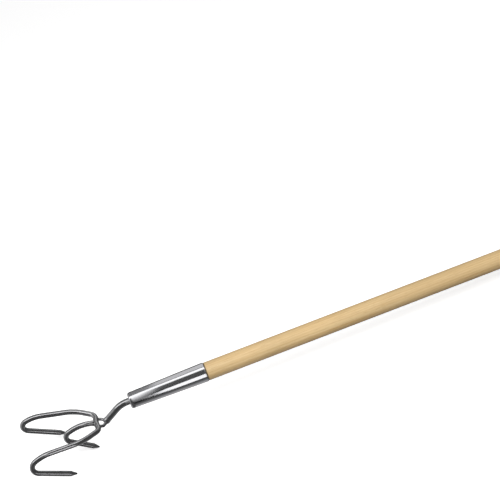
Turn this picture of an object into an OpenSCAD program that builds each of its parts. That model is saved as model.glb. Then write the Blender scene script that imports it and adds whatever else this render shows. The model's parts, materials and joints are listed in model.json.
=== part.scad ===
// Long-handled garden cultivator: three hooked round-bar tines on a swan-neck stem,
// held in a tapered steel ferrule on a turned ash handle. The two side tines meet in a bow
// across the crown, and the crown's two arms leave an open eye between the stem and the bow.
// Millimetres. The tool lies at rest on z = 0, touching it with the centre tine's tip and the
// underside of the butt. +X points to the butt, the head is at -X, +Z is up, and the XZ plane
// is the plane of symmetry. The origin is at the bottom centre of the bounding box.

/* [Handle] */
// Diameter of the ash shaft
handle_d = 28; // [24:0.5:32]
// Whole length of the shaft, with the spigot inside the ferrule
handle_l = 1350; // [600:10:1600]
// Rounding of the rim at the butt end
butt_round = 7; // [3:0.5:10]

/* [Ferrule] */
// Length of the ferrule
ferrule_l = 121; // [90:1:160]
// Outside diameter of the ferrule at its mouth
mouth_d = 29.6; // [29:0.1:34]
// Outside diameter of the ferrule at its nose
nose_d = 24.6; // [22:0.1:28]
// Thickness of the ferrule's steel wall
wall = 1.2; // [1:0.1:1.4]
// Rounding between the ferrule's side and its nose face
nose_round = 3.6; // [2.5:0.1:5]

/* [Stem] */
// Diameter of the swan-neck stem
stem_d = 10.4; // [9:0.1:11]
// Distance from the nose face to the corner of the neck
neck_reach = 13.7; // [12.8:0.1:24]
// How far the crown lies in front of the nose face
crown_reach = 43.7; // [40:0.1:60]
// How far the crown lies below the handle's axis
crown_drop = 20.9; // [17:0.1:24]
// Bend radius of the neck, on the stem's axis
neck_bend = 34; // [24:1:36]

/* [Tines] */
// Diameter of each tine
tine_d = 8; // [7:0.1:8.4]
// Half the distance between the points of the two side tines
half_spread = 48.2; // [44:0.1:52]
// Bend radius of a side tine's hook, on the tine's axis
side_hook = 11.3; // [9:0.1:12]
// Bend radius of the centre tine's hook, on the tine's axis
centre_hook = 10.7; // [9:0.1:11]
// Length of the sharpened end of a tine
point_l = 10; // [6:0.5:14]
// Radius of the blunted point
point_round = 1; // [0.8:0.1:1.4]

/* [Ferrule screw] */
// Shank diameter of the screw that holds the ferrule on the handle
screw_d = 3.5; // [3:0.1:4]
// Head diameter of that screw
screw_head_d = 7; // [6:0.1:8]
// Distance of the screw from the ferrule's mouth
screw_inset = 16; // [10:1:30]

/* [Hidden] */
$fn = 64;

// Gap left between pieces that are pushed or welded into each other
play = 0.05;
// Gap round the spigot inside the ferrule
spigot_play = 0.1;
// Steps in the polygon of a rounded rim
rim_steps = 8;

// The pieces are drawn with the ferrule's nose face at x = 0 and the handle's axis along X.
spigot_start = wall + 4.8;
butt_x = spigot_start + handle_l;
tang_end = 95;
crown = [-crown_reach, 0, -crown_drop];

// Corners of the stem's axis, from inside the ferrule to just short of the crown's middle
stem_cut_back = 3;
neck_corner = [-neck_reach, 0, 0];
stem_end = crown + stem_cut_back * unit(neck_corner - crown);
stem_path = [[9, 0, 0], neck_corner, stem_end];

// Corners of the right tine's axis: middle of the bow, shoulder, flank, brow, front of the
// hook, point
side_path = [
    crown + [-13.8, 0.7, 3.8],
    crown + [-11.6, 17.5, 4.5],
    crown + [-39.5, 36.5, 10.8],
    crown + [-99.8, half_spread - 2.3, 20.5],
    crown + [-137.4, half_spread + 2.8, 8.9],
    crown + [-64, half_spread, -33]
];
side_bends = [12.4, 69, 50, side_hook];
hook_corner = len(side_path) - 2;

// Corners of the centre tine's axis: root in front of the bow, brow, front of the hook, point
centre_path = [
    crown + [-18, 0, 6.56],
    crown + [-37.4, 0, 12.7],
    crown + [-74.3, 0, 0.4],
    crown + [-22.5, 0, -41.7]
];
centre_bends = [54, centre_hook];

// Crown: thickness of the weld metal over the bars, thickness of an arm, how far a rounded
// joint stands out over the bars it joins, length of the cap and of the bow's sleeve
weld = 0.5;
arm_d = 4.8;
knuckle = 0.1;
cap_l = 5;
sleeve_l = 19;

// Bends are drawn a hair thinner and longer than the straights they join, so that every
// bend ends inside its neighbours.
bend_inset = 0.03;
bend_overrun = 0.1;

// Rest pose: the pitch puts the lowest points of the centre tine and of the butt's rim level.
point_centre = centre_path[3] - point_round * unit(centre_path[3] - centre_path[2]);
rim_centre = [butt_x - butt_round, 0, -(handle_d / 2 - butt_round)];
rest_span = rim_centre - point_centre;
pitch = atan2(rest_span[2], rest_span[0]) - asin((butt_round - point_round) / norm(rest_span));
ahead = [cos(pitch), 0, sin(pitch)];
above = [-sin(pitch), 0, cos(pitch)];
lift = point_round - point_centre * above;

// Ends of the bounding box along the ground, from the upper rim of the butt and from the
// front of the side tines' hooks
rear_end = [butt_x - butt_round, 0, handle_d / 2 - butt_round] * ahead + butt_round;
hook_tilt = bend_axis(side_path, hook_corner) * ahead;
front_end = bend_centre(side_path, side_bends, hook_corner) * ahead
    - side_hook * sqrt(1 - hook_tilt * hook_tilt) - tine_d / 2 + bend_inset;

function unit(v) = v / norm(v);

// Bend at corner i of a path: directions out to its two neighbours, turn, and key points
function back_dir(path, i) = unit(path[i - 1] - path[i]);
function fore_dir(path, i) = unit(path[i + 1] - path[i]);
function turn(path, i) = 180 - acos(back_dir(path, i) * fore_dir(path, i));
function setback(path, bends, i) = bends[i - 1] * tan(turn(path, i) / 2);
function bend_start(path, bends, i) = path[i] + setback(path, bends, i) * back_dir(path, i);
function bend_end(path, bends, i) = path[i] + setback(path, bends, i) * fore_dir(path, i);
function bend_centre(path, bends, i) = path[i]
    + bends[i - 1] / cos(turn(path, i) / 2) * unit(back_dir(path, i) + fore_dir(path, i));
function bend_axis(path, i) = unit(cross(fore_dir(path, i), back_dir(path, i)));

// Outside radius of the ferrule at a distance from its nose
function ferrule_r(x) = nose_d / 2 + (mouth_d - nose_d) / 2 * x / ferrule_l;

// Points of a quarter turn from the side of a revolved shape to its end
function quarter_arc(cx, cy, r, first, last) =
    [for (k = [0:rim_steps]) let (a = first + (last - first) * k / rim_steps)
        [cx + r * cos(a), cy + r * sin(a)]];

// Puts a child drawn along +Z at a point, facing another point
module facing(from, to) {
    d = unit(to - from);
    translate(from)
        rotate([0, acos(d[2]), atan2(d[1], d[0])])
            children();
}

// Turns a child drawn along +Z to lie along +X
module along_handle() {
    rotate([0, 90, 0]) children();
}

// Lays the whole tool on the ground
module at_rest() {
    translate([-(rear_end + front_end) / 2, 0, lift])
        rotate([0, pitch, 0])
            children();
}

module straight(from, to, d) {
    facing(from, to) cylinder(d = d, h = norm(to - from));
}

// A straight that ends in a blunted conical point
module pointed_straight(from, to, d) {
    l = norm(to - from);
    facing(from, to)
        rotate_extrude()
            polygon(concat(
                [[0, 0], [d / 2, 0], [d / 2, l - point_l]],
                quarter_arc(0, l - point_round, point_round, 12, 90)));
}

module bend(path, bends, i, d) {
    c = bend_centre(path, bends, i);
    u = unit(bend_start(path, bends, i) - c);
    w = bend_axis(path, i);
    v = cross(w, u);
    overrun = bend_overrun / bends[i - 1] * 180 / PI;
    multmatrix([
        [u[0], v[0], w[0], c[0]],
        [u[1], v[1], w[1], c[1]],
        [u[2], v[2], w[2], c[2]],
        [0, 0, 0, 1]
    ])
        rotate([0, 0, -overrun])
            rotate_extrude(angle = turn(path, i) + 2 * overrun)
                translate([bends[i - 1], 0])
                    circle(d = d - 2 * bend_inset);
}

// Bent rod along a path, from its first corner to its last; a tine ends in a point
module bent_rod(path, bends, d, pointed = false) {
    last = len(path) - 1;
    for (i = [1:last - 1])
        bend(path, bends, i, d);
    for (i = [1:last - 1])
        straight(i == 1 ? path[0] : bend_end(path, bends, i - 1), bend_start(path, bends, i), d);
    if (pointed)
        pointed_straight(bend_end(path, bends, last - 1), path[last], d);
    else
        straight(bend_end(path, bends, last - 1), path[last], d);
}

module side_tine(d) {
    bent_rod(side_path, side_bends, d, pointed = true);
}

module centre_rod(d) {
    bent_rod(centre_path, centre_bends, d, pointed = true);
}

// Tapered tang of the stem, driven into the handle's end
module tang(clearance) {
    along_handle()
        translate([0, 0, 8])
            cylinder(r1 = stem_d / 2 - 0.2 + clearance, r2 = 2.5 + clearance,
                h = tang_end - 8 + clearance);
}

// Shank of the ferrule screw, pointing up through the ferrule's underside
module screw_shank(clearance) {
    x = ferrule_l - screw_inset;
    translate([x, 0, -ferrule_r(x) - play])
        cylinder(d = screw_d + 2 * clearance, h = 14 + clearance);
}

// Inside space of the ferrule, up to a plane behind its mouth
module ferrule_space() {
    bore_nose_r = ferrule_r(0) - wall;
    bore_end = ferrule_l + 1;
    bore_round = nose_round - wall;
    along_handle()
        rotate_extrude()
            polygon(concat(
                [[0, bore_end], [ferrule_r(bore_end) - wall, bore_end]],
                quarter_arc(bore_nose_r - bore_round, wall + bore_round, bore_round, 0, -90),
                [[0, wall]]));
}

module handle() {
    spigot_end_r = ferrule_r(ferrule_l) - wall - spigot_play;
    spigot_nose_r = ferrule_r(spigot_start) - wall - spigot_play;
    shoulder = ferrule_l + 0.4;
    color("#d0b083")
        difference() {
            along_handle()
                rotate_extrude()
                    polygon(concat(
                        [[0, spigot_start],
                         [spigot_nose_r - 2, spigot_start],
                         [spigot_nose_r, spigot_start + 2],
                         [spigot_end_r, shoulder],
                         [handle_d / 2 - 0.3, shoulder],
                         [handle_d / 2, shoulder + 1.2]],
                        quarter_arc(handle_d / 2 - butt_round, butt_x - butt_round,
                            butt_round, 0, 90),
                        [[0, butt_x]]));
            tang(play);
            translate([-1, 0, 0])
                along_handle()
                    cylinder(d = stem_d + 2 * play, h = 10 + play);
            screw_shank(play);
        }
}

module ferrule() {
    color("#c9ccd0")
        difference() {
            along_handle()
                rotate_extrude()
                    polygon(concat(
                        [[0, ferrule_l], [mouth_d / 2, ferrule_l]],
                        quarter_arc(nose_d / 2 - nose_round, nose_round, nose_round, 0, -90),
                        [[0, 0]]));
            ferrule_space();
            translate([-1, 0, 0])
                along_handle()
                    cylinder(d = stem_d + 2 * play, h = wall + 2);
            screw_shank(2 * play);
        }
}

module stem() {
    color("#a9adb2") {
        bent_rod(stem_path, [neck_bend], stem_d);
        tang(0);
    }
}

// One of the crown's two arms, from the stem's end round the eye to the bow
module crown_arm(side) {
    root = crown + [0.5, 2.5 * side, 0.2];
    elbow = crown + [-4.6, 7.8 * side, 0.8];
    tip = crown + [-11.2, 9 * side, 3.4];
    translate(root) sphere(d = arm_d + 2 * knuckle);
    straight(root, elbow, arm_d);
    translate(elbow) sphere(d = arm_d + 2 * knuckle);
    straight(elbow, tip, arm_d);
}

// Forged crown: a cap on the stem's end, two arms round the eye, and a sleeve that holds the
// bow's two halves and the root of the centre tine
module crown() {
    neck = unit(neck_corner - crown);
    bow = crown + [-13.8, 0, 3.8];
    forward = unit(centre_path[1] - centre_path[0]);
    color("#b4b8bd")
        difference() {
            union() {
                translate(stem_end) sphere(d = stem_d + 2 * weld);
                straight(stem_end, stem_end + cap_l * neck, stem_d + 2 * (weld - knuckle));
                for (side = [-1, 1])
                    crown_arm(side);
                straight(bow - [0, sleeve_l / 2, 0], bow + [0, sleeve_l / 2, 0],
                    tine_d + 2 * weld);
                straight(bow, centre_path[0] + 2 * forward, tine_d + 2 * (weld - knuckle));
            }
            bent_rod(stem_path, [neck_bend], stem_d + 2 * play);
            centre_rod(tine_d + 2 * play);
            for (side = [0, 1])
                mirror([0, side, 0])
                    side_tine(tine_d + 2 * play);
        }
}

module right_tine() {
    color("#9a9ea4") side_tine(tine_d);
}

module left_tine() {
    color("#9a9ea4") mirror([0, 1, 0]) side_tine(tine_d);
}

module centre_tine() {
    color("#9a9ea4") centre_rod(tine_d);
}

// Raised-head wood screw on the ferrule's underside, with a cross recess
module ferrule_screw() {
    x = ferrule_l - screw_inset;
    seat = -ferrule_r(x) - play;
    head_h = 2.2;
    color("#8f9398")
        difference() {
            union() {
                translate([x, 0, seat - 0.9]) cylinder(d = screw_head_d, h = 0.9);
                translate([x, 0, seat - head_h])
                    cylinder(d1 = screw_head_d * 0.45, d2 = screw_head_d, h = head_h - 0.9);
                screw_shank(0);
            }
            for (a = [0, 90])
                translate([x, 0, seat - head_h])
                    rotate([0, 0, a])
                        cube([3.2, 0.9, 2.4], center = true);
        }
}

at_rest() handle();
at_rest() ferrule();
at_rest() stem();
at_rest() crown();
at_rest() left_tine();
at_rest() centre_tine();
at_rest() right_tine();
at_rest() ferrule_screw();
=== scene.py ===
import json
from math import atan2, cos, pi, radians, sin

import bmesh
import bpy
from bpy.props import FloatProperty, FloatVectorProperty, PointerProperty, StringProperty
from mathutils import Matrix, Vector


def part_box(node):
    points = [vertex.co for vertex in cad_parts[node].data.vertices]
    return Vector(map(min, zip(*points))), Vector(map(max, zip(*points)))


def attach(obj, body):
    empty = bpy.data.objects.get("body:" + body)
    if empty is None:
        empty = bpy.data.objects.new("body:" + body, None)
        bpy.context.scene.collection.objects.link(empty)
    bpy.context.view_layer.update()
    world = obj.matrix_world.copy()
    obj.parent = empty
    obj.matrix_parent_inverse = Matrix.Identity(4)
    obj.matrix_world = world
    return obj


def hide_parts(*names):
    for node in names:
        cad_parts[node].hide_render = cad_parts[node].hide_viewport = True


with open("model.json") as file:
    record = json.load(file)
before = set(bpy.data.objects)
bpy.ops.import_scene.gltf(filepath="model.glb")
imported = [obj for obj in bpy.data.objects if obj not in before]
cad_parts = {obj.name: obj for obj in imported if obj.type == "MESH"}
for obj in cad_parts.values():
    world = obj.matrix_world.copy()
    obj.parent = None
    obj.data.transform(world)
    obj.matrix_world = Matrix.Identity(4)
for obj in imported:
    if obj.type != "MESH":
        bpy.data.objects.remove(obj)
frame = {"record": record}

bl_info = {
    "name": "Garden cultivator finish",
    "version": (1, 0, 0),
    "blender": (4, 5, 0),
    "location": "3D View > Sidebar > Cultivator",
    "description": "Builds the finished pieces of a long-handled cultivator round its frame",
    "category": "Object",
}

MM = 0.001

# The tool's own axes: millimetres, X along the handle to the butt, the ferrule's nose face at
# x = 0. The frame gives the slope of the handle and where its straight length has its middle.
GRIP = next(m for m in frame["record"]["mounts"] if m["name"] == "handle_grip")
SLOPE = atan2(-GRIP["axis"][2], GRIP["axis"][0])
GRIP_RADIUS = GRIP["dims"]["r_mm"]
GRIP_LENGTH = GRIP["dims"]["length_mm"]
SHOULDER = 121.4
SHOULDER_CHAMFER = 1.2
GRIP_START = SHOULDER + SHOULDER_CHAMFER
TO_REST = (
    Matrix.Translation(GRIP["pos_m"])
    @ Matrix.Rotation(SLOPE, 4, "Y")
    @ Matrix.Translation((-(GRIP_START + GRIP_LENGTH / 2) * MM, 0, 0))
    @ Matrix.Scale(MM, 4)
)
PLAY = 0.05

# The spigot inside the ferrule: where it starts behind the nose wall, and its play
SPIGOT_GAP = 4.8
SPIGOT_PLAY = 0.1

# Distance of the ferrule screw from the ferrule's mouth
SCREW_INSET = 16

# Key points of the head on the same axes: the crown's middle, the corners of each bar's axis
# from its root, and the bend radius at each corner between
CROWN = Vector((-43.7, 0, -20.9))
NECK = Vector((-13.7, 0, 0))
UP_STEM = (NECK - CROWN).normalized()
TANG_END = 95
STEM_CORNERS = [Vector((TANG_END, 0, 0)), NECK, CROWN + 3 * UP_STEM]
STEM_BENDS = (34,)
CENTRE_CORNERS = [
    CROWN + Vector(offset)
    for offset in ((-18, 0, 6.56), (-37.4, 0, 12.7), (-74.3, 0, 0.4), (-22.5, 0, -41.7))
]
CENTRE_BENDS = (54, 10.7)
SIDE_CORNERS = [
    CROWN + Vector(offset)
    for offset in ((-13.8, 0.7, 3.8), (-11.6, 17.5, 4.5), (-39.5, 36.5, 10.8), (-99.8, 45.9, 20.5),
                   (-137.4, 51, 8.9), (-64, 48.2, -33))
]
SIDE_BENDS = (12.4, 69, 50, 11.3)
BOW = CROWN + Vector((-13.8, 0, 3.8))

# Distance of the reflection cards from the tool's long axis, in metres
CARD_DISTANCE = 0.7


# ---------------------------------------------------------------- sizes and colours

class CultivatorSizes(bpy.types.PropertyGroup):
    """Sizes that the finished pieces are built from, in millimetres on the tool's own axes."""

    ferrule_length: FloatProperty(
        name="Ferrule length", description="From the nose face to the mouth", default=121.0)
    mouth_diameter: FloatProperty(
        name="Mouth diameter", description="Outside of the ferrule at its mouth", default=29.6)
    nose_diameter: FloatProperty(
        name="Nose diameter", description="Outside of the ferrule at its nose", default=24.6)
    wall: FloatProperty(
        name="Wall", description="Thickness of the ferrule's steel", default=1.2)
    nose_round: FloatProperty(
        name="Nose rounding", description="Rounding between side and nose face", default=3.6)
    butt_round: FloatProperty(
        name="Butt rounding", description="Rounding of the shaft's butt end", default=7.0)
    stem_diameter: FloatProperty(
        name="Stem diameter", description="Diameter of the swan-neck stem", default=10.4)
    tine_diameter: FloatProperty(
        name="Tine diameter", description="Diameter of each tine", default=8.0)
    point_length: FloatProperty(
        name="Point length", description="Length of a tine's sharpened end", default=10.0)
    point_round: FloatProperty(
        name="Point radius", description="Radius of the blunted point", default=1.0)
    screw_head: FloatProperty(
        name="Screw head", description="Diameter of the ferrule screw's head", default=7.0)


class CultivatorFinish(bpy.types.PropertyGroup):
    """Colours of the finishes, as sRGB hex values."""

    ash_pale: StringProperty(
        name="Ash, early wood", description="Pale wood between the rings", default="#E6CA97")
    ash_dark: StringProperty(
        name="Ash, late wood", description="Darker wood of the rings", default="#D0AA72")
    ash_pore: StringProperty(
        name="Ash, pores", description="Open pores along the grain", default="#B38A57")
    ferrule_steel: StringProperty(
        name="Ferrule steel", description="Mirror-polished stainless", default="#D6D6D9")
    bar_steel: StringProperty(
        name="Bar steel", description="Barrel-polished stainless bar", default="#BDBDBF")
    screw_steel: StringProperty(
        name="Screw steel", description="Bright screw", default="#A9A9AC")


class CultivatorStudio(bpy.types.PropertyGroup):
    """Where the camera stands."""

    azimuth: FloatProperty(
        name="Azimuth", description="Turn of the camera round the tool, in degrees",
        default=-3.72)
    elevation: FloatProperty(
        name="Elevation", description="Height of the camera above the ground, in degrees",
        default=35.79)
    roll: FloatProperty(
        name="Roll", description="Tilt of the camera about its own view, in degrees",
        default=-20.13)
    distance: FloatProperty(
        name="Distance", description="From the camera to the point it looks at",
        default=2.32, unit="LENGTH")
    lens: FloatProperty(
        name="Lens", description="Focal length for a 36 mm wide sensor", default=112.92)
    aim: FloatVectorProperty(
        name="Aim", description="Point looked at, from the middle of the ferrule's mouth",
        default=(0.1288, 0.0710, 0.1242), size=3, unit="LENGTH")


def sizes():
    return bpy.context.scene.cultivator_sizes


def ferrule_taper():
    """How much the ferrule's outside radius grows per millimetre from the nose."""
    s = sizes()
    return (s.mouth_diameter - s.nose_diameter) / 2 / s.ferrule_length


def finish():
    return bpy.context.scene.cultivator_finish


def studio():
    return bpy.context.scene.cultivator_studio


# ---------------------------------------------------------------- nodes and colours

def linear(hex_colour):
    """An sRGB hex colour as linear RGBA."""
    values = [int(hex_colour[i:i + 2], 16) / 255 for i in (1, 3, 5)]
    return [v / 12.92 if v <= 0.04045 else ((v + 0.055) / 1.055) ** 2.4 for v in values] + [1.0]


def add_node(tree, kind, settings=None, links=None):
    """Adds a node. Settings are its properties or input values, links feed its inputs."""
    node = tree.nodes.new(kind)
    for name, value in (settings or {}).items():
        if isinstance(name, str) and hasattr(node, name):
            setattr(node, name, value)
        else:
            node.inputs[name].default_value = value
    for name, source in (links or {}).items():
        tree.links.new(source, node.inputs[name])
    return node


def set_ramp(node, stops):
    """Gives a colour ramp its stops, each a position and a linear colour."""
    ramp = node.color_ramp
    while len(ramp.elements) < len(stops):
        ramp.elements.new(0.5)
    for element, (position, colour) in zip(ramp.elements, stops):
        element.position = position
        element.color = colour
    return node


def grey(value):
    return (value, value, value, 1.0)


def new_material(name):
    """A material with its nodes cleared, its shader and its output joined."""
    material = bpy.data.materials.new(name)
    material.use_nodes = True
    tree = material.node_tree
    tree.nodes.clear()
    shader = add_node(tree, "ShaderNodeBsdfPrincipled")
    add_node(tree, "ShaderNodeOutputMaterial", links={"Surface": shader.outputs["BSDF"]})
    return material, tree, shader


# ---------------------------------------------------------------- materials

def varnished_ash():
    """Ash, turned and clear-varnished: pale, straight-grained, with fine open pores."""
    material, tree, shader = new_material("varnished_ash")
    colours = finish()
    coords = add_node(tree, "ShaderNodeTexCoord")
    # Turned so that X runs along the shaft; the rings' centre lies outside the shaft, because
    # a shaft is sawn from the side of the log.
    grain = add_node(
        tree, "ShaderNodeMapping",
        {"Rotation": (0, -SLOPE, 0), "Location": (0, 0.047, -0.028)},
        {"Vector": coords.outputs["Object"]})
    # Growth rings 3.4 mm apart, drawn out along the shaft
    ring_gap = 3.4 * MM
    slow = add_node(
        tree, "ShaderNodeVectorMath", {"operation": "MULTIPLY", 1: (0.035, 1, 1)},
        {0: grain.outputs["Vector"]})
    rings = add_node(
        tree, "ShaderNodeTexWave",
        {"wave_type": "RINGS", "rings_direction": "X", "wave_profile": "SIN",
         "Scale": 2 * pi / (20 * ring_gap), "Distortion": 5.0, "Detail": 2.0,
         "Detail Scale": 0.22, "Detail Roughness": 0.45},
        {"Vector": slow.outputs["Vector"]})
    # Fibres in streaks about 2.5 mm wide and 100 mm long, with finer ones inside
    drawn_out = add_node(
        tree, "ShaderNodeVectorMath", {"operation": "MULTIPLY", 1: (10, 400, 400)},
        {0: grain.outputs["Vector"]})
    fibres = add_node(
        tree, "ShaderNodeTexNoise", {"Scale": 1.0, "Detail": 4.0, "Roughness": 0.55},
        {"Vector": drawn_out.outputs["Vector"]})
    # Pores: short dark dashes 0.5 mm wide and 12 mm long
    dashes = add_node(
        tree, "ShaderNodeVectorMath", {"operation": "MULTIPLY", 1: (75, 1900, 1900)},
        {0: grain.outputs["Vector"]})
    pores = add_node(
        tree, "ShaderNodeTexNoise", {"Scale": 1.0, "Detail": 1.0},
        {"Vector": dashes.outputs["Vector"]})
    pore_mask = add_node(
        tree, "ShaderNodeMapRange", {"From Min": 0.60, "From Max": 0.70},
        {"Value": pores.outputs["Fac"]})
    tone = add_node(
        tree, "ShaderNodeMath", {"operation": "MULTIPLY_ADD", 1: 0.9, 2: -0.05},
        {0: fibres.outputs["Fac"]})
    tone = add_node(
        tree, "ShaderNodeMath", {"operation": "MULTIPLY_ADD", 1: 0.14},
        {0: rings.outputs["Fac"], 2: tone.outputs[0]})
    wood = set_ramp(
        add_node(tree, "ShaderNodeValToRGB", links={"Fac": tone.outputs[0]}),
        [(0.18, linear(colours.ash_pale)), (0.82, linear(colours.ash_dark))])
    # Slow drift of colour along the shaft
    drift = add_node(
        tree, "ShaderNodeTexNoise", {"Scale": 9.0, "Detail": 2.0},
        {"Vector": coords.outputs["Object"]})
    drift_shade = set_ramp(
        add_node(tree, "ShaderNodeValToRGB", links={"Fac": drift.outputs["Fac"]}),
        [(0.3, grey(0.9)), (0.7, grey(1.0))])
    drifted = add_node(
        tree, "ShaderNodeMix", {"data_type": "RGBA", "blend_type": "MULTIPLY", 0: 1.0},
        {6: wood.outputs["Color"], 7: drift_shade.outputs["Color"]})
    pore_strength = add_node(
        tree, "ShaderNodeMath", {"operation": "MULTIPLY", 1: 0.45},
        {0: pore_mask.outputs["Result"]})
    with_pores = add_node(
        tree, "ShaderNodeMix", {"data_type": "RGBA", 7: linear(colours.ash_pore)},
        {0: pore_strength.outputs[0], 6: drifted.outputs[2]})
    # A dark line against the ferrule's mouth: painted shade in the groove, together with a line of
    # glue and dirt
    along = add_node(
        tree, "ShaderNodeMapping", {"Rotation": (0, -SLOPE, 0)},
        {"Vector": coords.outputs["Object"]})
    place = add_node(tree, "ShaderNodeSeparateXYZ", links={"Vector": along.outputs["Vector"]})
    groove = (Matrix.Rotation(-SLOPE, 4, "Y") @ TO_REST @ Vector((GRIP_START, 0, 0))).x
    # Mask for the painted groove shade and the glue line: dark at the groove, clear a few tenths
    # of a millimetre past it
    groove_shade_and_glue = add_node(
        tree, "ShaderNodeMapRange",
        {"From Min": groove - 0.6 * MM, "From Max": groove + 0.4 * MM,
         "To Min": 0.2, "To Max": 1.0},
        {"Value": place.outputs["X"]})
    # Darkens the wood there with the painted shade of the groove and the glue line
    coloured = add_node(
        tree, "ShaderNodeMix", {"data_type": "RGBA", "blend_type": "MULTIPLY", 0: 1.0},
        {6: with_pores.outputs[2], 7: groove_shade_and_glue.outputs["Result"]})
    sheen = add_node(
        tree, "ShaderNodeMapRange", {"To Min": 0.40, "To Max": 0.55},
        {"Value": fibres.outputs["Fac"]})
    relief = add_node(
        tree, "ShaderNodeMath", {"operation": "SUBTRACT"},
        {0: fibres.outputs["Fac"], 1: pore_mask.outputs["Result"]})
    bump = add_node(
        tree, "ShaderNodeBump", {"Strength": 0.12, "Distance": 0.05 * MM},
        {"Height": relief.outputs[0]})
    shader.inputs["IOR"].default_value = 1.5
    shader.inputs["Coat Weight"].default_value = 0.35
    shader.inputs["Coat Roughness"].default_value = 0.22
    tree.links.new(coloured.outputs[2], shader.inputs["Base Color"])
    tree.links.new(sheen.outputs["Result"], shader.inputs["Roughness"])
    tree.links.new(bump.outputs["Normal"], shader.inputs["Normal"])
    return material


def polished_stainless():
    """Stainless steel, buffed to a mirror on a wheel: sharp reflections, faint buffing lines."""
    material, tree, shader = new_material("polished_stainless")
    coords = add_node(tree, "ShaderNodeTexCoord")
    # Buffing lines 0.4 mm apart run round the cone, so they are stretched across its axis
    along = add_node(
        tree, "ShaderNodeMapping", {"Rotation": (0, -SLOPE, 0), "Scale": (2500, 45, 45)},
        {"Vector": coords.outputs["Object"]})
    lines = add_node(
        tree, "ShaderNodeTexNoise", {"Scale": 1.0, "Detail": 2.0},
        {"Vector": along.outputs["Vector"]})
    haze = add_node(
        tree, "ShaderNodeTexNoise", {"Scale": 55.0, "Detail": 4.0},
        {"Vector": coords.outputs["Object"]})
    mixed = add_node(
        tree, "ShaderNodeMath", {"operation": "ADD"},
        {0: lines.outputs["Fac"], 1: haze.outputs["Fac"]})
    rough = add_node(
        tree, "ShaderNodeMapRange",
        {"From Min": 0.6, "From Max": 1.4, "To Min": 0.07, "To Max": 0.15},
        {"Value": mixed.outputs[0]})
    bump = add_node(
        tree, "ShaderNodeBump", {"Strength": 0.04, "Distance": 0.01 * MM},
        {"Height": lines.outputs["Fac"]})
    shader.inputs["Base Color"].default_value = linear(finish().ferrule_steel)
    shader.inputs["Metallic"].default_value = 1.0
    tree.links.new(rough.outputs["Result"], shader.inputs["Roughness"])
    tree.links.new(bump.outputs["Normal"], shader.inputs["Normal"])
    return material


def tumbled_stainless():
    """Stainless bar, bent, welded and barrel-polished: darker, softer, slightly uneven shine."""
    material, tree, shader = new_material("tumbled_stainless")
    coords = add_node(tree, "ShaderNodeTexCoord")
    # Tumbling leaves dimples about 1.5 mm across and slow changes of shine about 12 mm long
    dimples = add_node(
        tree, "ShaderNodeTexNoise", {"Scale": 650.0, "Detail": 2.0},
        {"Vector": coords.outputs["Object"]})
    patches = add_node(
        tree, "ShaderNodeTexNoise", {"Scale": 85.0, "Detail": 3.0},
        {"Vector": coords.outputs["Object"]})
    rough = add_node(
        tree, "ShaderNodeMapRange",
        {"From Min": 0.3, "From Max": 0.7, "To Min": 0.12, "To Max": 0.22},
        {"Value": patches.outputs["Fac"]})
    dark = [v * 0.85 for v in linear(finish().bar_steel)[:3]] + [1.0]
    tint = set_ramp(
        add_node(tree, "ShaderNodeValToRGB", links={"Fac": patches.outputs["Fac"]}),
        [(0.3, dark), (0.7, linear(finish().bar_steel))])
    bump = add_node(
        tree, "ShaderNodeBump", {"Strength": 0.06, "Distance": 0.03 * MM},
        {"Height": dimples.outputs["Fac"]})
    shader.inputs["Metallic"].default_value = 1.0
    tree.links.new(tint.outputs["Color"], shader.inputs["Base Color"])
    tree.links.new(rough.outputs["Result"], shader.inputs["Roughness"])
    tree.links.new(bump.outputs["Normal"], shader.inputs["Normal"])
    return material


def shared_bar_steel():
    """The bars' steel, made once."""
    return bpy.data.materials.get("tumbled_stainless") or tumbled_stainless()


def bright_screw_steel():
    """Bright-drawn screw steel: satin, with fine turning marks on the head."""
    material, tree, shader = new_material("bright_screw_steel")
    coords = add_node(tree, "ShaderNodeTexCoord")
    marks = add_node(
        tree, "ShaderNodeTexNoise", {"Scale": 1800.0, "Detail": 2.0},
        {"Vector": coords.outputs["Object"]})
    rough = add_node(
        tree, "ShaderNodeMapRange", {"To Min": 0.22, "To Max": 0.38},
        {"Value": marks.outputs["Fac"]})
    bump = add_node(
        tree, "ShaderNodeBump", {"Strength": 0.08, "Distance": 0.02 * MM},
        {"Height": marks.outputs["Fac"]})
    shader.inputs["Base Color"].default_value = linear(finish().screw_steel)
    shader.inputs["Metallic"].default_value = 1.0
    tree.links.new(rough.outputs["Result"], shader.inputs["Roughness"])
    tree.links.new(bump.outputs["Normal"], shader.inputs["Normal"])
    return material


# ---------------------------------------------------------------- mesh helpers

def arc(centre_x, centre_r, radius, start, end, steps=8):
    """Points (x, r) of an arc in a turned profile, from one angle to another in degrees."""
    angles = [radians(start + (end - start) * k / steps) for k in range(steps + 1)]
    return [(centre_x + radius * cos(a), centre_r + radius * sin(a)) for a in angles]


def evenly(start, end, step):
    """Points between two profile points, about a step apart, without the two ends."""
    count = max(1, round((Vector(end) - Vector(start)).length / step))
    return [tuple(Vector(start).lerp(Vector(end), k / count)) for k in range(1, count)]


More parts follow.
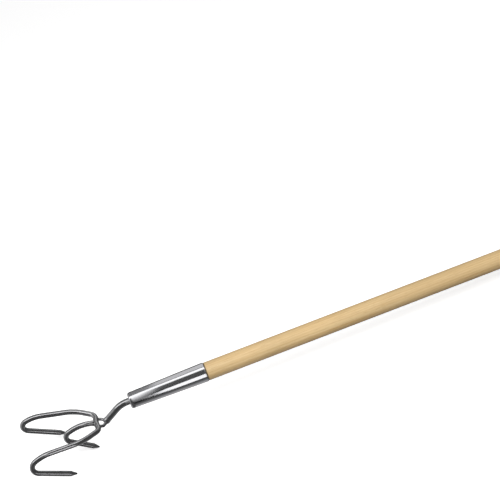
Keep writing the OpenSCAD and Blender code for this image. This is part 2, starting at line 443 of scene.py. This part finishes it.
def turned(profile, segments=96, ring=False):
    """A bmesh of a profile of (x, r) points turned round the X axis. A ring's profile closes
    on itself; any other starts and ends on the axis."""
    bm = bmesh.new()
    loops = []
    for x, r in profile:
        if r < 1e-6:
            loops.append([bm.verts.new((x, 0, 0))])
        else:
            turns = [2 * pi * k / segments for k in range(segments)]
            loops.append([bm.verts.new((x, r * cos(t), r * sin(t))) for t in turns])
    pairs = list(zip(loops, loops[1:])) + ([(loops[-1], loops[0])] if ring else [])
    for one, two in pairs:
        for k in range(segments):
            corners = []
            for loop, step in ((one, k), (one, k + 1), (two, k + 1), (two, k)):
                vert = loop[step % len(loop)]
                if vert not in corners:
                    corners.append(vert)
            bm.faces.new(corners)
    bmesh.ops.recalc_face_normals(bm, faces=bm.faces)
    return bm


def add_ball(bm, centre, radius):
    """A ball, for a joint between two bars."""
    place = Matrix.Translation(Vector(centre))
    bmesh.ops.create_icosphere(bm, subdivisions=3, radius=radius, matrix=place)


def add_sleeve(bm, start, end, radius, end_radius):
    """A short capped cone round a bar, from one point to another."""
    direction = Vector(end) - Vector(start)
    made = bmesh.ops.create_cone(
        bm, cap_ends=True, segments=32, radius1=radius, radius2=end_radius,
        depth=direction.length)
    turn = direction.to_track_quat("Z", "Y").to_matrix().to_4x4()
    middle = Matrix.Translation((Vector(start) + Vector(end)) / 2)
    bmesh.ops.transform(bm, matrix=middle @ turn, verts=made["verts"])


def piece_from(bm, name, material, sharp_angle=35):
    """A finished object, placed by its mesh, from a bmesh on the tool's own axes."""
    bmesh.ops.transform(bm, matrix=TO_REST, verts=bm.verts)
    mesh = bpy.data.meshes.new(name)
    bm.to_mesh(mesh)
    bm.free()
    mesh.shade_smooth()
    mesh.set_sharp_from_angle(angle=radians(sharp_angle))
    mesh.materials.append(material)
    piece = bpy.data.objects.new(name, mesh)
    bpy.context.scene.collection.objects.link(piece)
    return piece


def bake_modifiers(piece):
    """Replaces a piece's mesh by what its modifiers make of it, and removes them."""
    graph = bpy.context.evaluated_depsgraph_get()
    mesh = bpy.data.meshes.new_from_object(
        piece.evaluated_get(graph), preserve_all_data_layers=True, depsgraph=graph)
    mesh.name = piece.name
    piece.modifiers.clear()
    piece.data = mesh
    return piece


def seat(piece, node):
    """Hands a finished piece to the frame, in place of a node."""
    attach(piece, "root")
    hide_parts(node)


# ---------------------------------------------------------------- bent bars

def bent_bar_tree():
    """Geometry nodes that turn a line of corners into a bent round bar. Each corner's own
    bend radius is read from its "bend" attribute. The bar can start in a taper and can end
    in a sharpened, blunted point."""
    tree = bpy.data.node_groups.new("bent_bar", "GeometryNodeTree")
    tree.is_modifier = True
    face = tree.interface
    face.new_socket("Geometry", in_out="OUTPUT", socket_type="NodeSocketGeometry")
    face.new_socket("Geometry", in_out="INPUT", socket_type="NodeSocketGeometry")
    for name in ("Bar Radius", "Start Radius", "Start Taper", "Point Length", "Point Radius",
                 "Ring Gap"):
        face.new_socket(name, in_out="INPUT", socket_type="NodeSocketFloat")
    face.new_socket("Sides", in_out="INPUT", socket_type="NodeSocketInt")
    face.new_socket("Material", in_out="INPUT", socket_type="NodeSocketMaterial")
    given = add_node(tree, "NodeGroupInput").outputs

    bend = add_node(
        tree, "GeometryNodeInputNamedAttribute", {"data_type": "FLOAT", "Name": "bend"})
    line = add_node(tree, "GeometryNodeMeshToCurve", links={"Mesh": given["Geometry"]})
    bent = add_node(
        tree, "GeometryNodeFilletCurve", {"mode": "POLY", "Count": 40},
        {"Curve": line.outputs["Curve"], "Radius": bend.outputs["Attribute"]})
    even = add_node(
        tree, "GeometryNodeResampleCurve", {"mode": "LENGTH"},
        {"Curve": bent.outputs["Curve"], "Length": given["Ring Gap"]})

    # Radius along the bar: a taper at its start, a cone and a rounded tip at its end
    travelled = add_node(tree, "GeometryNodeSplineParameter").outputs["Length"]
    whole = add_node(tree, "GeometryNodeSplineLength").outputs["Length"]
    left = add_node(
        tree, "ShaderNodeMath", {"operation": "SUBTRACT"}, {0: whole, 1: travelled})
    start = add_node(
        tree, "ShaderNodeMapRange", {},
        {"Value": travelled, "From Max": given["Start Taper"],
         "To Min": given["Start Radius"], "To Max": given["Bar Radius"]})
    cone = add_node(
        tree, "ShaderNodeMapRange", {},
        {"Value": left.outputs[0], "From Max": given["Point Length"],
         "To Min": given["Point Radius"], "To Max": given["Bar Radius"]})
    share = add_node(
        tree, "ShaderNodeMapRange", {"To Min": 1.0, "To Max": 0.0},
        {"Value": left.outputs[0], "From Max": given["Point Radius"]})
    squared = add_node(
        tree, "ShaderNodeMath", {"operation": "MULTIPLY"},
        {0: share.outputs["Result"], 1: share.outputs["Result"]})
    rest = add_node(
        tree, "ShaderNodeMath", {"operation": "SUBTRACT", 0: 1.0}, {1: squared.outputs[0]})
    tip = add_node(tree, "ShaderNodeMath", {"operation": "SQRT"}, {0: rest.outputs[0]})
    pointed = add_node(
        tree, "ShaderNodeMath", {"operation": "MULTIPLY"},
        {0: cone.outputs["Result"], 1: tip.outputs[0]})
    radius = add_node(
        tree, "ShaderNodeMath", {"operation": "MINIMUM"},
        {0: start.outputs["Result"], 1: pointed.outputs[0]})

    outline = add_node(
        tree, "GeometryNodeCurvePrimitiveCircle", {"mode": "RADIUS", "Radius": 1.0},
        {"Resolution": given["Sides"]})
    skin = add_node(
        tree, "GeometryNodeCurveToMesh", {"Fill Caps": True},
        {"Curve": even.outputs["Curve"], "Profile Curve": outline.outputs["Curve"],
         "Scale": radius.outputs[0]})
    welded = add_node(
        tree, "GeometryNodeMergeByDistance", {"Distance": 0.002 * MM},
        {"Geometry": skin.outputs["Mesh"]})
    solid = add_node(
        tree, "GeometryNodeRealizeInstances", links={"Geometry": welded.outputs["Geometry"]})
    painted = add_node(
        tree, "GeometryNodeSetMaterial", {},
        {"Geometry": solid.outputs["Geometry"], "Material": given["Material"]})
    add_node(tree, "NodeGroupOutput", links={"Geometry": painted.outputs["Geometry"]})
    return tree


def shared_bar_tree():
    """The bent bar's node group, made once."""
    return bpy.data.node_groups.get("bent_bar") or bent_bar_tree()


def bent_bar(name, corners, bends, settings, material):
    """A bar bent along a line of corners, given on the tool's own axes."""
    mesh = bpy.data.meshes.new(name)
    points = [TO_REST @ Vector(c) for c in corners]
    mesh.from_pydata(points, [(i, i + 1) for i in range(len(points) - 1)], [])
    bend = mesh.attributes.new("bend", "FLOAT", "POINT")
    for i, radius in enumerate(bends):
        bend.data[i + 1].value = radius * MM
    piece = bpy.data.objects.new(name, mesh)
    bpy.context.scene.collection.objects.link(piece)
    modifier = piece.modifiers.new("bent bar", "NODES")
    modifier.node_group = shared_bar_tree()
    sockets = {s.name: s.identifier for s in modifier.node_group.interface.items_tree}
    for socket, value in settings.items():
        modifier[sockets[socket]] = value
    modifier[sockets["Material"]] = material
    bake_modifiers(piece)
    bm = bmesh.new()
    bm.from_mesh(piece.data)
    bmesh.ops.recalc_face_normals(bm, faces=bm.faces)
    bm.to_mesh(piece.data)
    bm.free()
    piece.data.shade_smooth()
    piece.data.set_sharp_from_angle(angle=radians(40))
    return piece


def mirrored(points):
    """The same points on the other side of the plane of symmetry."""
    return [Vector((x, -y, z)) for x, y, z in points]


# ---------------------------------------------------------------- pieces

class CULTIVATOR_OT_handle(bpy.types.Operator):
    """Turns the ash shaft, with its spigot, shoulder and rounded butt"""

    bl_idname = "cultivator.handle"
    bl_label = "Handle"

    def execute(self, context):
        s = sizes()
        radius = GRIP_RADIUS
        butt = GRIP_START + GRIP_LENGTH + s.butt_round
        spigot_start = s.wall + SPIGOT_GAP
        gap = s.wall + SPIGOT_PLAY
        taper = ferrule_taper()
        spigot_nose = s.nose_diameter / 2 + taper * spigot_start - gap
        spigot_end = s.mouth_diameter / 2 - gap
        lead_in = 2
        rim = 1
        profile = [(spigot_start, 0), (spigot_start, spigot_nose - lead_in)]
        profile += [(spigot_start + lead_in, spigot_nose), (SHOULDER, spigot_end)]
        profile += [(SHOULDER + 0.2, radius - SHOULDER_CHAMFER)]
        profile += arc(GRIP_START, radius - rim, rim, 180, 90, 6)
        profile += evenly((GRIP_START, radius), (butt - s.butt_round, radius), 12)
        profile += arc(butt - s.butt_round, radius - s.butt_round, s.butt_round, 90, 0, 12)
        profile += [(butt, (radius - s.butt_round) / 2), (butt, 0)]
        piece = piece_from(turned(profile), "ash_shaft", varnished_ash())
        seat(piece, "handle")
        return {"FINISHED"}


class CULTIVATOR_OT_ferrule(bpy.types.Operator):
    """Spins the tapered ferrule, with its rounded nose and its softened mouth"""

    bl_idname = "cultivator.ferrule"
    bl_label = "Ferrule"

    def execute(self, context):
        s = sizes()
        nose = s.nose_diameter / 2
        mouth = s.mouth_diameter / 2
        taper = ferrule_taper()
        hole = s.stem_diameter / 2 + PLAY
        rim = 0.5
        lip = s.wall / 2
        inner_round = s.nose_round - s.wall
        end = s.ferrule_length
        profile = arc(rim, hole + rim, rim, 270, 180, 4)
        profile += evenly((0, hole + rim), (0, nose - s.nose_round), 2)
        profile += arc(s.nose_round, nose - s.nose_round, s.nose_round, 180, 91, 12)
        side_start = (s.nose_round + 1, nose + taper * (s.nose_round + 1))
        side_end = (end - lip, mouth - taper * lip)
        profile += [side_start] + evenly(side_start, side_end, 3) + [side_end]
        profile += arc(end - lip, mouth - lip, lip, 85, -85, 8)
        inner_start = (end - 2, mouth - taper * 2 - s.wall)
        inner_end = (s.nose_round + 1, nose + taper * (s.nose_round + 1) - s.wall)
        profile += [inner_start] + evenly(inner_start, inner_end, 8) + [inner_end]
        profile += arc(s.nose_round, nose - s.nose_round, inner_round, 92, 180, 8)
        profile += [(s.wall, hole + 1), (s.wall, hole)]
        piece = piece_from(turned(profile, 128, ring=True), "ferrule_shell",
                           polished_stainless())
        seat(piece, "ferrule")
        return {"FINISHED"}


class CULTIVATOR_OT_stem(bpy.types.Operator):
    """Bends the swan-neck stem and its tang"""

    bl_idname = "cultivator.stem"
    bl_label = "Stem"

    def execute(self, context):
        s = sizes()
        # The tang tapers from inside the ferrule's nose to its end; the other end is cut square
        tang_start = 8
        tang_tip_radius = 2.5
        bar = {
            "Bar Radius": s.stem_diameter / 2 * MM,
            "Start Radius": tang_tip_radius * MM,
            "Start Taper": (TANG_END - tang_start) * MM,
            "Point Length": 0.01 * MM,
            "Point Radius": 0.005 * MM,
            "Ring Gap": 0.6 * MM,
            "Sides": 48,
        }
        piece = bent_bar("swan_neck_stem", STEM_CORNERS, STEM_BENDS, bar,
                         shared_bar_steel())
        seat(piece, "stem")
        return {"FINISHED"}


class CULTIVATOR_OT_tines(bpy.types.Operator):
    """Bends and points the three tines"""

    bl_idname = "cultivator.tines"
    bl_label = "Tines"

    def execute(self, context):
        s = sizes()
        # A tine keeps its thickness at the root, so its taper there does nothing
        bar = {
            "Bar Radius": s.tine_diameter / 2 * MM,
            "Start Radius": s.tine_diameter / 2 * MM,
            "Start Taper": 1 * MM,
            "Point Length": s.point_length * MM,
            "Point Radius": s.point_round * MM,
            "Ring Gap": 0.4 * MM,
            "Sides": 36,
        }
        for node, corners, bends in (
                ("left_tine", mirrored(SIDE_CORNERS), SIDE_BENDS),
                ("centre_tine", CENTRE_CORNERS, CENTRE_BENDS),
                ("right_tine", SIDE_CORNERS, SIDE_BENDS)):
            piece = bent_bar(node + "_bar", corners, bends, bar, shared_bar_steel())
            seat(piece, node)
        return {"FINISHED"}


class CULTIVATOR_OT_crown(bpy.types.Operator):
    """Forges the crown: a cap on the stem, two arms round the eye, a sleeve over the bow"""

    bl_idname = "cultivator.crown"
    bl_label = "Crown"

    def execute(self, context):
        s = sizes()
        tine = s.tine_diameter / 2
        stem = s.stem_diameter / 2
        stem_end = STEM_CORNERS[-1]
        cap = 5
        weld = 0.4
        arm = 2.4
        knuckle = arm + 0.1
        bm = bmesh.new()
        add_ball(bm, stem_end, stem + weld)
        add_sleeve(bm, stem_end, stem_end + cap * UP_STEM, stem + weld, stem - 0.1)
        for side in (-1, 1):
            root = CROWN + Vector((0.5, 2.5 * side, 0.2))
            elbow = CROWN + Vector((-4.6, 7.8 * side, 0.8))
            tip = CROWN + Vector((-11.2, 9 * side, 3.4))
            sleeve_end = BOW + Vector((0.9, 9.4 * side, 0.3))
            add_ball(bm, root, knuckle)
            add_sleeve(bm, root, elbow, arm, arm)
            add_ball(bm, elbow, knuckle)
            add_sleeve(bm, elbow, tip, arm, arm)
            add_sleeve(bm, BOW, sleeve_end, tine + weld, tine + 0.15)
        ahead = (CENTRE_CORNERS[1] - CENTRE_CORNERS[0]).normalized()
        add_sleeve(bm, BOW, CENTRE_CORNERS[0] + 2 * ahead, tine + weld, tine + 0.1)
        piece = piece_from(bm, "forged_crown", shared_bar_steel(), 180)
        remesh = piece.modifiers.new("join", "REMESH")
        remesh.mode = "VOXEL"
        remesh.voxel_size = 0.3 * MM
        smooth = piece.modifiers.new("weld", "SMOOTH")
        smooth.iterations = 6
        smooth.factor = 0.5
        bake_modifiers(piece)
        piece.data.shade_smooth()
        seat(piece, "crown")
        return {"FINISHED"}


class CULTIVATOR_OT_ferrule_screw(bpy.types.Operator):
    """Turns the raised-head screw under the ferrule and sinks its cross recess"""

    bl_idname = "cultivator.ferrule_screw"
    bl_label = "Ferrule screw"

    def execute(self, context):
        s = sizes()
        x = s.ferrule_length - SCREW_INSET
        seat_r = s.nose_diameter / 2 + ferrule_taper() * x + PLAY
        head = s.screw_head / 2
        head_h = 2.2
        shank = 1.75
        # Drawn along X, from the top of the head to the shank's point
        profile = [(0, 0), (0, head * 0.3)]
        profile += [(0.12, head * 0.5), (0.45, head * 0.75), (0.85, head * 0.92)]
        profile += [(1.25, head), (head_h - 0.2, head), (head_h, head - 0.2)]
        profile += [(head_h, shank), (head_h + 10, shank)]
        profile += [(head_h + 14, 0.4), (head_h + 14, 0)]
        bm = turned(profile, 48)
        head_top = Matrix.Translation((x, 0, -seat_r - head_h))
        stand = head_top @ Matrix.Rotation(-pi / 2, 4, "Y")
        bmesh.ops.transform(bm, matrix=stand, verts=bm.verts)
        piece = piece_from(bm, "ferrule_wood_screw", bright_screw_steel())

        cutter_bm = bmesh.new()
        slot_l, slot_w = 3.4, 0.9
        for length, width in ((slot_l, slot_w), (slot_w, slot_l)):
            made = bmesh.ops.create_cube(cutter_bm, size=1)
            block = head_top @ Matrix.Diagonal((length, width, 2.2, 1))
            bmesh.ops.transform(cutter_bm, matrix=block, verts=made["verts"])
        cutter = piece_from(cutter_bm, "recess_cutter", bright_screw_steel())
        recess = piece.modifiers.new("recess", "BOOLEAN")
        recess.object = cutter
        recess.operation = "DIFFERENCE"
        recess.solver = "EXACT"
        recess.use_self = True
        bake_modifiers(piece)
        bpy.data.objects.remove(cutter)
        piece.data.shade_smooth()
        piece.data.set_sharp_from_angle(angle=radians(30))
        seat(piece, "ferrule_screw")
        return {"FINISHED"}


# ---------------------------------------------------------------- studio

def glossy_only(card):
    """Leaves a card visible in reflections and nowhere else."""
    card.visible_camera = False
    card.visible_diffuse = False
    card.visible_shadow = False
    card.visible_transmission = False


def add_card(name, start, end, brightness, fade=0):
    """A white card bent round the tool's long axis. Start and end each give a
    place along the tool from the ferrule's nose, in metres, and the card's two edges there as
    angles in degrees: 0 is level behind the tool, 90 overhead, 180 level in front of it. With
    a fade, the card darkens towards its second edge; a higher fade falls off sooner."""
    nose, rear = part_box("ferrule")
    height = (nose[2] + rear[2]) / 2
    radius = CARD_DISTANCE
    steps = 24
    verts = []
    glows = []
    for along, first, last in (start, end):
        for k in range(steps + 1):
            a = radians(first + (last - first) * k / steps)
            verts.append((nose[0] + along, radius * cos(a), height + radius * sin(a)))
            glows.append(brightness * (1 - k / steps) ** fade)
    mesh = bpy.data.meshes.new(name)
    mesh.from_pydata(
        verts, [], [(k, k + 1, steps + 2 + k, steps + 1 + k) for k in range(steps)])
    mesh.attributes.new("glow", "FLOAT", "POINT").data.foreach_set("value", glows)
    material = bpy.data.materials.new(name)
    material.use_nodes = True
    tree = material.node_tree
    tree.nodes.clear()
    glow = add_node(tree, "ShaderNodeAttribute", {"attribute_name": "glow"})
    light = add_node(tree, "ShaderNodeEmission", links={"Strength": glow.outputs["Fac"]})
    add_node(tree, "ShaderNodeOutputMaterial", links={"Surface": light.outputs["Emission"]})
    mesh.materials.append(material)
    card = bpy.data.objects.new(name, mesh)
    bpy.context.scene.collection.objects.link(card)
    glossy_only(card)


class CULTIVATOR_OT_stage(bpy.types.Operator):
    """Sets up the floor, the soft light, the reflection cards and the camera"""

    bl_idname = "cultivator.stage"
    bl_label = "Stage"

    def execute(self, context):
        self.add_floor()
        self.light_world()
        self.add_key_light()
        self.add_cards()
        self.add_camera()
        context.scene.view_settings.view_transform = "Standard"
        return {"FINISHED"}

    def add_floor(self):
        bm = bmesh.new()
        bmesh.ops.create_grid(bm, x_segments=1, y_segments=1, size=6)
        mesh = bpy.data.meshes.new("floor")
        bm.to_mesh(mesh)
        bm.free()
        # Paper on a light table: white to the eye, but it throws less light back up at the tool
        material, tree, shader = new_material("white_paper")
        path = add_node(tree, "ShaderNodeLightPath")
        white = add_node(
            tree, "ShaderNodeMapRange", {"To Min": 0.25, "To Max": 0.9},
            {"Value": path.outputs["Is Camera Ray"]})
        lift = add_node(
            tree, "ShaderNodeMapRange", {"To Min": 0.0, "To Max": 0.5},
            {"Value": path.outputs["Is Camera Ray"]})
        tree.links.new(white.outputs["Result"], shader.inputs["Base Color"])
        tree.links.new(lift.outputs["Result"], shader.inputs["Emission Strength"])
        shader.inputs["Emission Color"].default_value = grey(1.0)
        shader.inputs["Roughness"].default_value = 1.0
        shader.inputs["Specular IOR Level"].default_value = 0.0
        mesh.materials.append(material)
        floor = bpy.data.objects.new("floor", mesh)
        bpy.context.scene.collection.objects.link(floor)
        floor.visible_glossy = False

    def light_world(self):
        """A bright tent for matt surfaces, a dark room in reflections."""
        world = bpy.data.worlds.new("studio")
        world.use_nodes = True
        tree = world.node_tree
        tree.nodes.clear()
        path = add_node(tree, "ShaderNodeLightPath")
        tent = add_node(tree, "ShaderNodeBackground", {"Color": grey(1.0), "Strength": 0.36})
        coords = add_node(tree, "ShaderNodeTexCoord")
        toward = add_node(
            tree, "ShaderNodeSeparateXYZ", links={"Vector": coords.outputs["Generated"]})

        def share(axis, first, last, low, high):
            return add_node(
                tree, "ShaderNodeMapRange",
                {"interpolation_type": "SMOOTHSTEP", "From Min": first, "From Max": last,
                 "To Min": low, "To Max": high},
                {"Value": toward.outputs[axis]}).outputs["Result"]

        def times(one, two):
            return add_node(
                tree, "ShaderNodeMath", {"operation": "MULTIPLY"}, {0: one, 1: two}).outputs[0]

        # A pale wall at the head's end of a dark room
        wall = times(share("X", -0.2, -0.7, 0.0, 0.5), share("Y", -0.7, 0.1, 0.0, 1.0))
        lit = add_node(
            tree, "ShaderNodeMath", {"operation": "ADD", 1: 0.09}, {0: wall}).outputs[0]
        room = add_node(
            tree, "ShaderNodeBackground", {"Color": grey(1.0)}, {"Strength": lit})
        mix = add_node(
            tree, "ShaderNodeMixShader", {},
            {0: path.outputs["Is Glossy Ray"], 1: tent.outputs[0], 2: room.outputs[0]})
        add_node(tree, "ShaderNodeOutputWorld", links={"Surface": mix.outputs[0]})
        bpy.context.scene.world = world

    def add_key_light(self):
        """A soft square light above the tool and to its left, the side that the camera sees."""
        low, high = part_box("ferrule")
        centre = (Vector(low) + Vector(high)) / 2
        lamp = bpy.data.lights.new("key", "AREA")
        lamp.shape = "SQUARE"
        lamp.size = 1.6
        lamp.energy = 30
        light = bpy.data.objects.new("key", lamp)
        light.location = centre + Vector((0.1, -0.9, 1.5))
        aim = centre - light.location
        light.rotation_euler = aim.to_track_quat("-Z", "Y").to_euler()
        light.visible_glossy = False
        bpy.context.scene.collection.objects.link(light)

    def add_cards(self):
        # Overhead: a strip that is seen along the tines and along the ferrule, with a wide
        # soft front edge where the ferrule's nose sees it
        add_card("head_strip", (-0.85, 84, 110), (-0.1, 84, 110), 2.0)
        add_card("nose_strip", (-0.1, 84, 112), (-0.012, 82, 112), 1.5)
        add_card("strip_narrows", (-0.012, 82, 112), (0.035, 78, 105), 1.5)
        add_card("ferrule_strip", (0.035, 78, 105), (0.32, 78, 105), 1.5)
        add_card("front_widens", (-0.1, 112, 130), (-0.06, 112, 205), 1.5, 2)
        add_card("nose_front", (-0.06, 112, 205), (-0.012, 112, 205), 1.5, 2)
        add_card("front_narrows", (-0.012, 112, 205), (0.02, 100, 150), 1.5, 2)
        # Behind, a wall; in front and below, a bright strip and the paper
        add_card("dim_wall", (-0.5, 12, 75), (0.025, 12, 75), 0.25)
        add_card("back_wall", (0.025, 12, 72), (0.32, 12, 72), 0.72)
        add_card("far_wall", (0.32, 12, 72), (1.5, 12, 72), 0.3)
        add_card("strip_starts", (0.005, 172, 188), (0.03, 162, 200), 1.5)
        add_card("front_strip", (0.03, 162, 200), (0.14, 162, 200), 1.5)
        for first, last, brightness in (
                (222, 240, 0.17), (240, 256, 0.32), (256, 280, 0.43), (280, 330, 0.52)):
            add_card("paper", (-0.06, first, last), (0.32, first, last), brightness)

    def add_camera(self):
        view = studio()
        mouth = TO_REST @ Vector((sizes().ferrule_length, 0, 0))
        target = mouth + Vector(view.aim)
        azimuth, elevation = radians(view.azimuth), radians(view.elevation)
        away = Vector((
            sin(azimuth) * cos(elevation), -cos(azimuth) * cos(elevation), sin(elevation)))
        lens = bpy.data.cameras.new("camera")
        lens.lens = view.lens
        lens.sensor_width = 36
        camera = bpy.data.objects.new("camera", lens)
        turn = away.to_track_quat("Z", "Y").to_matrix() @ Matrix.Rotation(
            radians(view.roll), 3, "Z")
        camera.matrix_world = Matrix.Translation(target + view.distance * away) @ turn.to_4x4()
        bpy.context.scene.collection.objects.link(camera)
        bpy.context.scene.camera = camera


# ---------------------------------------------------------------- add-on

class CULTIVATOR_PT_sidebar(bpy.types.Panel):
    """Lists the pieces of the cultivator"""

    bl_label = "Cultivator"
    bl_space_type = "VIEW_3D"
    bl_region_type = "UI"
    bl_category = "Cultivator"

    def draw(self, context):
        layout = self.layout
        for group in (context.scene.cultivator_sizes, context.scene.cultivator_finish,
                      context.scene.cultivator_studio):
            for name in group.__annotations__:
                layout.prop(group, name)
        for operator in PIECES:
            layout.operator(operator.bl_idname)


PIECES = (
    CULTIVATOR_OT_stage,
    CULTIVATOR_OT_handle,
    CULTIVATOR_OT_ferrule,
    CULTIVATOR_OT_stem,
    CULTIVATOR_OT_crown,
    CULTIVATOR_OT_tines,
    CULTIVATOR_OT_ferrule_screw,
)
GROUPS = (CultivatorSizes, CultivatorFinish, CultivatorStudio)


def register():
    for cls in GROUPS + PIECES + (CULTIVATOR_PT_sidebar,):
        bpy.utils.register_class(cls)
    bpy.types.Scene.cultivator_sizes = PointerProperty(type=CultivatorSizes)
    bpy.types.Scene.cultivator_finish = PointerProperty(type=CultivatorFinish)
    bpy.types.Scene.cultivator_studio = PointerProperty(type=CultivatorStudio)


def unregister():
    del bpy.types.Scene.cultivator_sizes
    del bpy.types.Scene.cultivator_finish
    del bpy.types.Scene.cultivator_studio
    for cls in reversed(GROUPS + PIECES + (CULTIVATOR_PT_sidebar,)):
        bpy.utils.unregister_class(cls)


def main():
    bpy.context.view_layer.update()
    register()
    for operator in PIECES:
        family, name = operator.bl_idname.split(".")
        getattr(getattr(bpy.ops, family), name)()
    bpy.context.view_layer.update()


if __name__ == "__main__":
    main()
